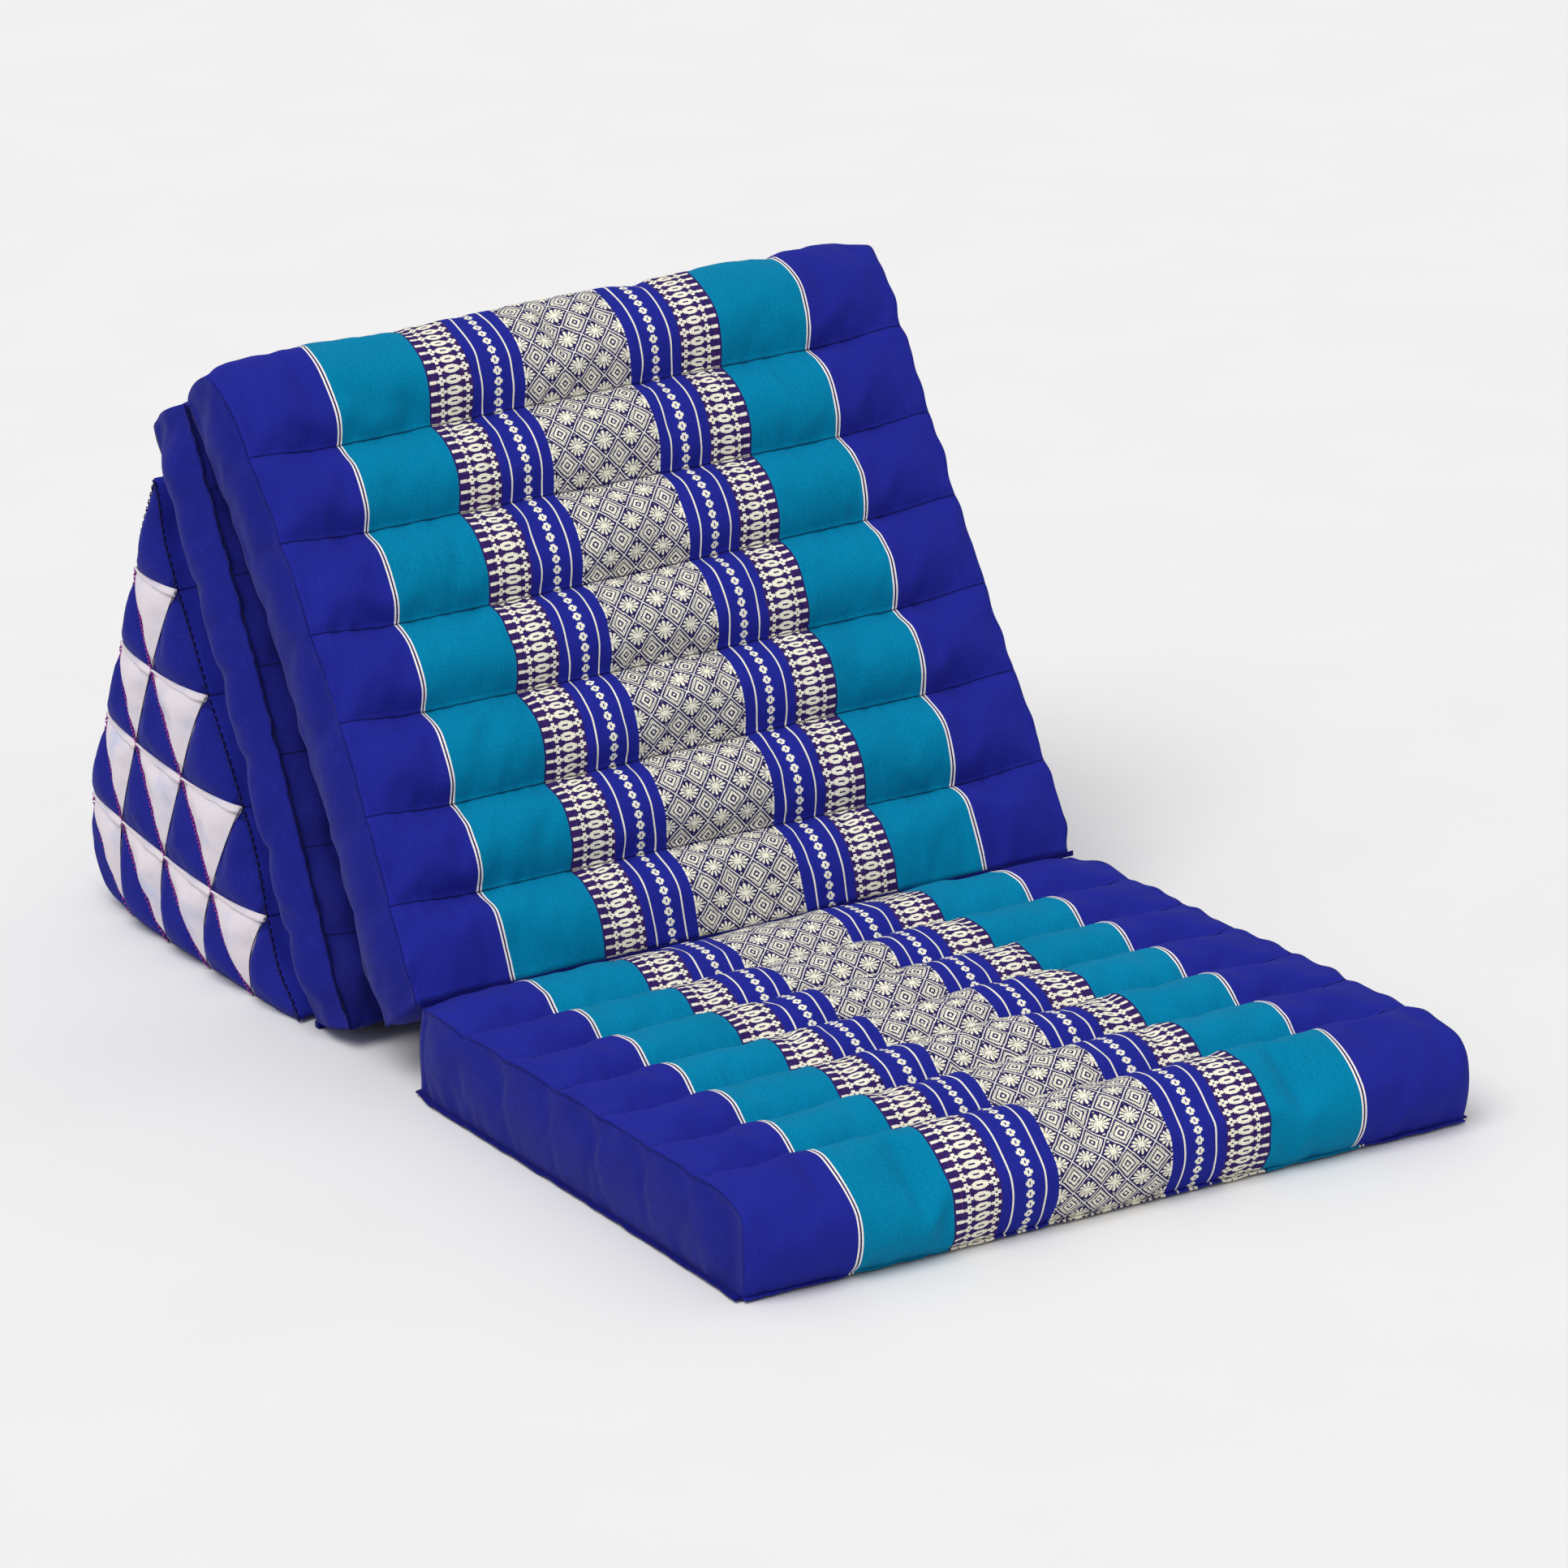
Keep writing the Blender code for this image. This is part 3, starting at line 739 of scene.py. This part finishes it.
def sewSection(name, shape):
    bm, layers = newCover()
    bmesh.ops.create_cube(bm, size=2.0)
    cutAlong(bm, 0, mat["across"])
    cutAlong(bm, 1, mat["channels"] * mat["perChannel"])
    cutAlong(bm, 2, mat["through"])
    layCloths(bm, layers, shape)
    pinSection(bm, layers, shape)
    for vert in bm.verts:
        vert.co = sectionPoint(shape, vert.co.copy())
    piece = fillCover(bm, name, [sectionCloth, stripCloth, backCloth])
    pucker(piece, gathers)
    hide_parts(shape["node"])
    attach(piece, "root")
    print(name, "sewn")


for key in ("seat", "backrest", "folded"):
    sewSection(key + "Cushion", sections[key])


# The wedge

# Corners are (y, z) from the seam between seat and backrest. The band's lengths, faceCloth and
# floorCloth, are those of its cloth up a face and along the floor. The gap lies before the front.
wedge = {
    "node": "wedge_cushion", "width": 0.506, "rows": 5, "perRow": 8, "across": 70,
    "front": (0.1605, 0.0030), "back": (0.4970, 0.0040), "top": (0.3660, 0.3400),
    "crown": 0.0060, "frontSeamIn": 0.0130, "frontBelly": 0.0140, "backBelly": 0.0290,
    "endBulge": 0.0130, "patchPuff": 0.0045, "endCap": 0.0035, "faceCap": 0.0020,
    "footBack": 0.0120, "footOut": 0.0080, "cornerForward": 0.010, "cornerUp": 0.012,
    "faceCloth": 0.390, "floorCloth": 0.336,
    "gapAtFloor": 0.0031, "gapAtTop": 0.0340, "gapKept": 0.0075,
}
wedgeFront, wedgeBack, wedgeTop = (Vector(wedge[k]) for k in ("front", "back", "top"))


def weights(point):
    # How much of the front, back and top corner of the wedge's end a (y, z) point holds
    a, b, p = wedgeBack - wedgeFront, wedgeTop - wedgeFront, point - wedgeFront
    area = a.x * b.y - a.y * b.x
    back = (p.x * b.y - p.y * b.x) / area
    top = (a.x * p.y - a.y * p.x) / area
    return 1 - back - top, back, top


def weightsAt(vert):
    return weights(Vector((vert.co.y, vert.co.z)))


def fromSeam(weight):
    # Rows from the nearest of the seams that part the patches
    return abs(weight * wedge["rows"] - round(weight * wedge["rows"]))


def patchPuff(front, back, top):
    # 0 at a patch's seams and 1 in its middle
    parts = [(w * wedge["rows"]) % 1.0 for w in (front, back, top)]
    if sum(parts) > 1.5:
        parts = [1 - p for p in parts]
    return math.sqrt(max(27 * parts[0] * parts[1] * parts[2], 0))


def wedgePoint(x, front, back, top):
    # x is -1 to 1 across, and the weights place the point in the end's triangle.
    rows = wedge["rows"]
    front, back, top = round(front, 6), round(back, 6), round(top, 6)
    spot = wedgeFront * front + wedgeBack * back + wedgeTop * top
    fade = smooth((1 - abs(x)) / 0.3)
    arc = channelArc(top, rows)
    dip = wedge["crown"] * (1 - arc) * smooth(min(top, 1 - top) * rows) * mix(0.3, 1, fade)

    # The front face swells as far as the folded section before it leaves room
    run = (wedgeTop - wedgeFront).normalized()
    out = Vector((-run.y, run.x))
    room = mix(wedge["gapAtFloor"], wedge["gapAtTop"], top) - wedge["gapKept"]
    swell = min(wedge["frontBelly"], max(room, 0)) * smooth((1 - top) * 4) * fade
    seamIn = wedge["frontSeamIn"] * smooth(min(top * 8, (1 - top) * 8)) * (1 - fade)
    spot += out * (swell - seamIn) * (1 - smooth(back * 1.4))
    spot -= out * dip * onFace(back)

    run = (wedgeTop - wedgeBack).normalized()
    out = Vector((run.y, -run.x))
    swell = wedge["backBelly"] * math.sin(math.pi * (1 - top) ** 2.0) * mix(0.88, 1, fade)
    spot += out * swell * (1 - smooth(front * 1.4))
    spot -= out * dip * onFace(front)

    # The underside lies flat on the floor
    lift = mix(wedgeFront.y, wedgeBack.y, back / max(front + back, 1e-6))
    spot.y -= lift * smooth(min(front, back) / 0.08) * smooth((0.15 - top) / 0.15)
    if top == 0 and min(front, back) > 0.08:
        spot.y = 0.0

    # The filling has settled at the ends: they lean out and back at the floor, and the back corner is round
    low = smooth((0.42 - top) / 0.42) * (1 - fade)
    corner = smooth((back - 0.84) / 0.16) * (1 - fade)
    spot.x += wedge["footBack"] * low * (1 - 0.5 * smooth(back * 1.5 - 0.4)) - wedge["cornerForward"] * corner
    spot.y += wedge["cornerUp"] * corner
    half = wedge["width"] / 2 + wedge["footOut"] * low * smooth(min(1, (1 - back) * 3))
    if abs(x) > nearFace:
        half += wedge["endBulge"] * max(27 * front * back * top, 0) ** 0.55
        half += wedge["patchPuff"] * patchPuff(front, back, top)
    return Vector((x * half, spot.x, spot.y)) + seamPlace


def layWedgeCloths(bm, layers):
    # One band of woven cloth goes round the faces, and the ends are blue patches with white between.
    rows = wedge["rows"]
    for face in bm.faces:
        middle = face.calc_center_median()
        front, back, top = weights(Vector((middle.y, middle.z)))
        isEnd = abs(middle.x) > nearFace
        if isEnd:
            upright = sum(math.floor(w * rows) for w in (front, back, top)) == rows - 1
            face.material_index = 1 if upright else 2
        for loop in face.loops:
            c = loop.vert.co
            share = weightsAt(loop.vert)
            if isEnd:
                uv = (c.y, c.z)
            elif min(front, back) < 1e-4:
                uv = (c.x * wedge["width"] / 2, (1 - share[2]) * wedge["faceCloth"])
            else:
                uv = (c.x * wedge["width"] / 2, wedge["faceCloth"] + wedge["floorCloth"] * share[1])
            loop[layers["cloth"]].uv = uv


def pinWedge(bm, layers):
    # Pins the seams and rims, caps the swell and marks how near a seam each point is.
    rowPitch, creaseReach = 66.0, 7.0  # millimetres
    pinned = set()
    for vert in bm.verts:
        w = weightsAt(vert)
        isEnd, rim = abs(vert.co.x) > nearFace, min(w) < 1e-4
        onSeam = [fromSeam(part) < 1e-3 for part in w]
        if (any(onSeam) or rim) if isEnd else (onSeam[2] or w[2] < 1e-4):
            pinned.add(vert)
            vert[layers["pins"]][0] = 1.0
        vert[layers["cap"]] = wedge["endCap"] if isEnd and not rim else wedge["faceCap"]
        offSeam = min(fromSeam(part) for part in w) if isEnd else fromSeam(w[2])
        vert[layers["pucker"]] = math.exp(-offSeam * rowPitch / creaseReach)
    for edge in bm.edges:
        a, b = edge.verts
        if a not in pinned or b not in pinned:
            continue
        wa, wb = weightsAt(a), weightsAt(b)
        alongSeam = any(abs(p - q) < 1e-4 and fromSeam(p) < 1e-3 for p, q in zip(wa, wb))
        if alongSeam and not (min(wa[2], wb[2]) < 1e-4 and abs(a.co.x) < nearFace):
            edge[layers["crease"]] = 1.0


def wedgeCreases(place, near):
    if place.z <= 0.004:
        return 0.0  # the underside stays flat
    return 0.0009 * near * noise.noise(place * 90.0) + 0.0008 * noise.noise(place * 25.0) * (1 - near)


def sewWedge():
    bm, layers = newCover()
    corners = [bm.verts.new((-1, p.x, p.y)) for p in (wedgeFront, wedgeBack, wedgeTop)]
    swept = bmesh.ops.extrude_face_region(bm, geom=[bm.faces.new(corners)], use_keep_orig=True)
    sweptVerts = [v for v in swept["geom"] if isinstance(v, bmesh.types.BMVert)]
    bmesh.ops.translate(bm, verts=sweptVerts, vec=(2, 0, 0))
    cutAlong(bm, 0, wedge["across"])
    rims = [e for e in bm.edges if abs(e.verts[0].co.x - e.verts[1].co.x) < 1e-6]
    bmesh.ops.subdivide_edges(bm, edges=rims, cuts=wedge["rows"] * wedge["perRow"] - 1, use_grid_fill=True)
    layWedgeCloths(bm, layers)
    pinWedge(bm, layers)
    for vert in bm.verts:
        vert.co = wedgePoint(vert.co.x, *weightsAt(vert))
    piece = fillCover(bm, "wedgeCushion", [wedgeCloth, patchBlue, patchWhite])
    pucker(piece, wedgeCreases)
    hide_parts(wedge["node"])
    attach(piece, "root")
    print("wedge sewn")


sewWedge()

for name in ("seam_seat_backrest", "seam_backrest_folded", "seam_folded_wedge"):
    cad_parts[name].material_slots[0].material = seamCloth


# Seam allowances, overlock and tucks

# A ribbon's reach is how far it stands out of its seam, its wave how far it sways, and its step the
# cloth's length between two of its points. The seat's head ends at headEnd along the cloth.
trims = {
    "seatLip": {"reach": 0.0050, "wave": 0.0012, "step": 0.005},
    "foldedRidge": {"reach": 0.0042, "wave": 0.0018, "step": 0.005},
    "tuck": {"reach": 0.0052, "wave": 0.0004, "step": 0.003, "steps": 24},
    "thick": 0.0012, "sideSteps": 90, "frontSteps": 104, "headEnd": 0.5165,
    "overlock": {"long": 0.0032, "wide": 0.0010, "slant": 60.0, "count": 26, "proud": 0.0004},
    "edgeLine": {"long": 0.0026, "wide": 0.0005, "slant": 4.0, "count": 34, "proud": 0.0002},
    "rimStitch": {"long": 0.0032, "wide": 0.0010, "slant": 48.0, "count": 130, "proud": 0.0},
}


def trimPiece(bm, name, material):
    piece = newPiece(bm, name, [material])
    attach(piece, "root")
    return piece


def sewnRibbon(name, spots, outward, trim, material, across=0.0, along=0.002, seed=0.0):
    # A raw-edged seam allowance: a strip that stands out of the seam and waves along it. Its cloth
    # starts at a place across and along the loom.
    count, reach = len(spots) - 1, trim["reach"]
    bm = bmesh.new()
    cloth = bm.loops.layers.uv.new("cloth")
    bmesh.ops.create_grid(bm, x_segments=count, y_segments=3, size=0.5)
    for face in bm.faces:
        for loop in face.loops:
            c = loop.vert.co
            loop[cloth].uv = (across + (c.x + 0.5) * count * trim["step"], along + (c.y + 0.5) * reach)
    way = outward.normalized()
    for vert in bm.verts:
        index = min(max(round((vert.co.x + 0.5) * count), 0), count)
        out, spot = vert.co.y + 0.5, spots[index]
        ahead = (spots[min(index + 1, count)] - spots[max(index - 1, 0)]).normalized()
        side = ahead.cross(way).normalized()
        sway = noise.noise(Vector((index * 0.35, seed, 0.0)))
        sway += 0.6 * noise.noise(Vector((index * 1.1, seed, 4.0)))
        long = 1 + 0.25 * noise.noise(Vector((index * 0.22, seed, 9.0)))
        vert.co = spot + way * reach * (out * long - 0.12) + side * trim["wave"] * sway * out
        vert.co.z = max(vert.co.z, trims["thick"])  # it lies on the floor, not under it
    bmesh.ops.recalc_face_normals(bm, faces=bm.faces)
    piece = trimPiece(bm, name, material)
    wall = piece.modifiers.new("clothThickness", "SOLIDIFY")
    wall.thickness = trims["thick"]
    wall.offset = 0.0
    return piece


def sectionEdge(shape, x, y, z, count):
    # Points along an edge of a section: the one of x, y and z that is None runs from -1 to 1.
    spots = []
    for index in range(count + 1):
        t = -1 + 2 * index / count
        spots.append(sectionPoint(shape, Vector([t if c is None else c for c in (x, y, z)])))
    return spots


aboveFloor = Vector((0, 0, 0.0030))
for side, label in ((-1, "Left"), (1, "Right")):
    spots = [p + aboveFloor for p in sectionEdge(sections["seat"], side, None, -1, trims["sideSteps"])]
    sewnRibbon("seatLip" + label, spots, Vector((side, 0, -0.16)), trims["seatLip"], seamCloth,
               seed=3.0 + side)
    spots = sectionEdge(sections["folded"], side, None, -1, trims["sideSteps"])
    sewnRibbon("foldedRidge" + label, spots, Vector((side * 0.5, -0.80, 0.40)), trims["foldedRidge"],
               ridgeCloth, seed=17.0 + side)

# The front lip is the edge of the patterned cloth, past the foot of the seat's head
spots = [p + aboveFloor for p in sectionEdge(sections["seat"], None, 1, -1, trims["frontSteps"])]
sewnRibbon("seatLipFront", spots, Vector((0, -1, -0.16)), trims["seatLip"], sectionCloth,
           across=spots[0].x - seamPlace.x, along=trims["headEnd"], seed=7.0)


def endPath(side, start, end, count, proud):
    # Points on the wedge's end, from one set of weights to another
    spots = []
    for index in range(count + 1):
        w = [mix(a, b, index / count) for a, b in zip(start, end)]
        spots.append(wedgePoint(side, *w) + Vector((side * proud, 0, 0)))
    return spots


def zigzagStitches(bm, side, start, end, style):
    # Short bars of thread on an edge of the wedge's end, leaning one way and then the other.
    spots = endPath(side, start, end, style["count"], style["proud"])
    for index, spot in enumerate(spots[:-1]):
        if spot.z < style["long"] * 0.7:
            continue  # the thread ends above the floor
        ahead = (spots[index + 1] - spot).normalized()
        cross = Vector((side, 0, 0)).cross(ahead).normalized()
        outward = ahead.cross(cross)
        outward = outward.normalized() * (1 if outward.x * side > 0 else -1)
        lean = math.radians(style["slant"] * (1 if index % 2 else -1))
        bar = ahead * math.cos(lean) + cross * math.sin(lean)
        across = outward.cross(bar).normalized()
        place = Matrix((bar, across, outward)).transposed().to_4x4()
        place.translation = spot + outward * 0.0003
        size = Matrix.Diagonal((style["long"], style["wide"], style["wide"], 1.0))
        bmesh.ops.create_cube(bm, size=1.0, matrix=place @ size)


def sewTuck(name, side, start, end, seed):
    # The folded seam over a white patch, narrow at the back corner and full at the front corner
    tuck = trims["tuck"]
    spots = endPath(side, start, end, tuck["steps"], 0.0004)
    ribbon = sewnRibbon(name, spots, Vector((side * 0.55, 0, -1)), tuck, patchWhite, seed=seed)
    for vert in ribbon.data.vertices:
        station = vert.index % (tuck["steps"] + 1)
        share, anchor = station / tuck["steps"], spots[station]
        vert.co = anchor + (vert.co - anchor) * (0.25 + 0.75 * smooth(share * 1.2))


def sewPatchTrims(side, label):
    rows = wedge["rows"]
    overlock, navy = bmesh.new(), bmesh.new()
    for bm in (overlock, navy):
        bm.loops.layers.uv.new("cloth")
    count = 0
    for i in range(rows - 1):
        for j in range(rows - 1 - i):
            # The corners of one white patch, which stands on its tip
            k = rows - 2 - i - j
            tip = ((i + 1) / rows, (j + 1) / rows, k / rows)
            frontTop = ((i + 1) / rows, j / rows, (k + 1) / rows)
            backTop = (i / rows, (j + 1) / rows, (k + 1) / rows)
            zigzagStitches(overlock, side, tip, backTop, trims["overlock"])
            zigzagStitches(navy, side, tip, frontTop, trims["edgeLine"])
            sewTuck("tuck%s%d" % (label, count), side, backTop, frontTop, count + 2.0)
            count += 1
    for corner in ((1, 0, 0), (0, 1, 0)):
        zigzagStitches(navy, side, corner, (0, 0, 1), trims["rimStitch"])
    trimPiece(overlock, "patchOverlock" + label, overlockThread)
    trimPiece(navy, "wedgeEndStitching" + label, navyThread)


sewPatchTrims(-1, "Left")
sewPatchTrims(1, "Right")
print("trims sewn on")


# Floor, light and camera

stageSet = {
    "floorDark": "#E9E8E7", "floorLight": "#EFEEED", "floorRoughness": 0.7, "size": 14.0, "below": 0.0003,
    "sky": "#F7F8FA", "skyStrength": 0.60, "sun": 1.85, "spread": 45.0, "sunWay": (0.40, 0.22, -0.89),
}

floorPaint = bpy.data.materials.new("paleFloorPaint")  # matte emulsion on a smooth board: even and pale
floorPaint.use_nodes = True
tree = floorPaint.node_tree
shader = tree.nodes["Principled BSDF"]
cloud = node(tree, "TexNoise", node(tree, "TexCoord", out=3), Scale=6.0, Detail=4.0)
colour = node(tree, "MixRGB", cloud, linear(stageSet["floorDark"]), linear(stageSet["floorLight"]))
tree.links.new(colour, shader.inputs["Base Color"])
shader.inputs["Roughness"].default_value = stageSet["floorRoughness"]

bm = bmesh.new()
bmesh.ops.create_grid(bm, x_segments=1, y_segments=1, size=stageSet["size"])
bmesh.ops.translate(bm, verts=bm.verts, vec=(0, 0, -stageSet["below"]))
studioFloor = newPiece(bm, "studioFloor", [floorPaint])

world = bpy.data.worlds.new("studioWorld")
sceneNow.world = world
world.use_nodes = True
world.node_tree.nodes["Background"].inputs[0].default_value = linear(stageSet["sky"])
world.node_tree.nodes["Background"].inputs[1].default_value = stageSet["skyStrength"]

sun = bpy.data.objects.new("windowLight", bpy.data.lights.new("windowLight", "SUN"))
sun.data.energy = stageSet["sun"]
sun.data.angle = math.radians(stageSet["spread"])
sun.rotation_euler = Vector(stageSet["sunWay"]).to_track_quat("-Z", "Y").to_euler()
sceneNow.collection.objects.link(sun)

# The lens stood 4.7 m away, 30 degrees to the left of the seat's length, and was held slightly askew.
lens = {
    "place": (-2.1867, -3.857, 1.6582), "millimetres": 160.25, "sensor": 36.0,
    "yaw": -29.8532, "pitch": -18.6079, "roll": -2.1817,
}
yaw, pitch, roll = (math.radians(lens[k]) for k in ("yaw", "pitch", "roll"))
forward = Vector((-math.sin(yaw) * math.cos(pitch), math.cos(yaw) * math.cos(pitch), math.sin(pitch)))
right = Vector((math.cos(yaw), math.sin(yaw), 0))
up = right.cross(forward)
tilted = right * math.cos(roll) + up * math.sin(roll)
upright = up * math.cos(roll) - right * math.sin(roll)
turn = Matrix((tilted, upright, -forward)).transposed().to_4x4()
camera = bpy.data.objects.new("camera", bpy.data.cameras.new("camera"))
camera.matrix_world = Matrix.Translation(Vector(lens["place"]) + seamPlace) @ turn
camera.data.sensor_width = lens["sensor"]
camera.data.lens = lens["millimetres"]
camera.data.clip_end = 60.0
sceneNow.collection.objects.link(camera)
sceneNow.camera = camera
sceneNow.view_settings.view_transform = "Standard"
print("stage, lights and camera set")
